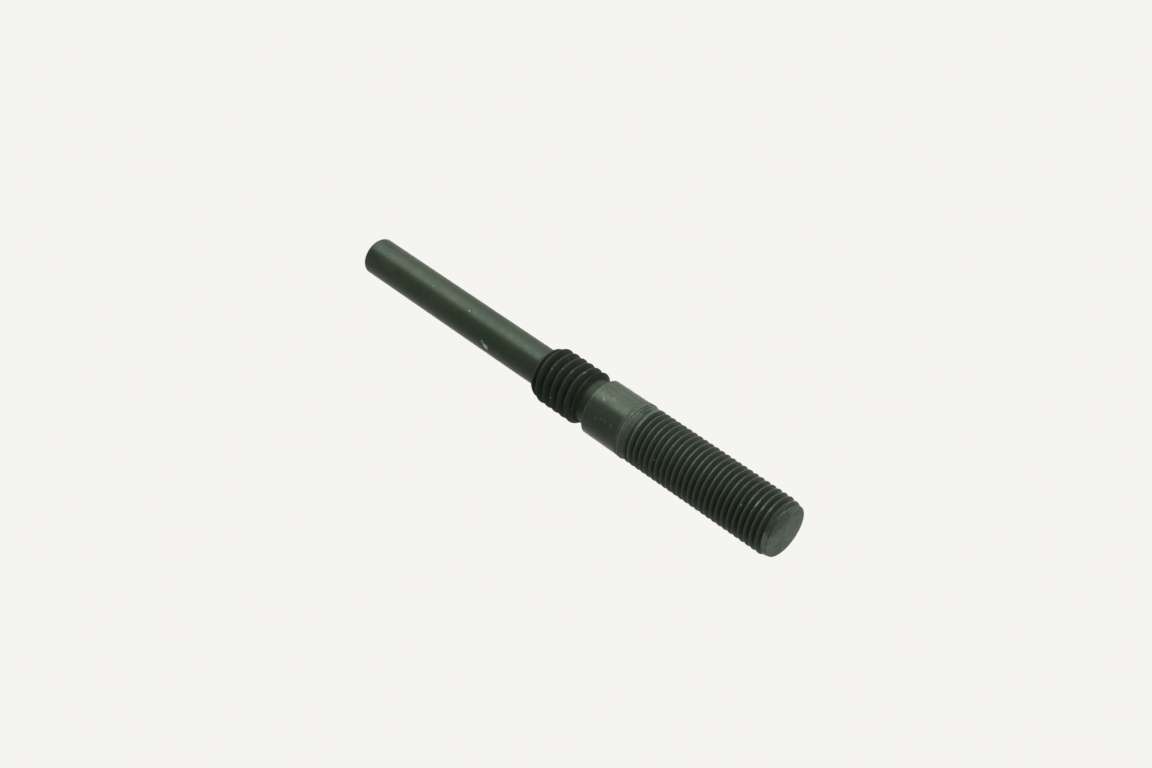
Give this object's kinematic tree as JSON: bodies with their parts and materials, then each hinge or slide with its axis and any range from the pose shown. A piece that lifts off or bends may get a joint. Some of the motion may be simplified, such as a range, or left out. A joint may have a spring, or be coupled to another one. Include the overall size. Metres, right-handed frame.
{
  "type": "guide pin",
  "caption": "Blackened steel guide pin: slim smooth guide, coarse right-hand thread with a neck, plain collar, and a long fine right-hand thread with a flat end.",
  "frame": {"origin": "centre of the flat end face at the foot of the fine thread", "axes": "+Z along the pin's axis, from the fine thread to the tip of the smooth guide; -Y is the side that the picture shows"},
  "size_m": [0.0112, 0.0112, 0.1042],
  "materials": {
    "blackened_steel": "satin blackened steel, dark grey with a green cast"
  },
  "bodies": {
    "root": {"guide_pin": "blackened_steel"}
  },
  "joints": []
}
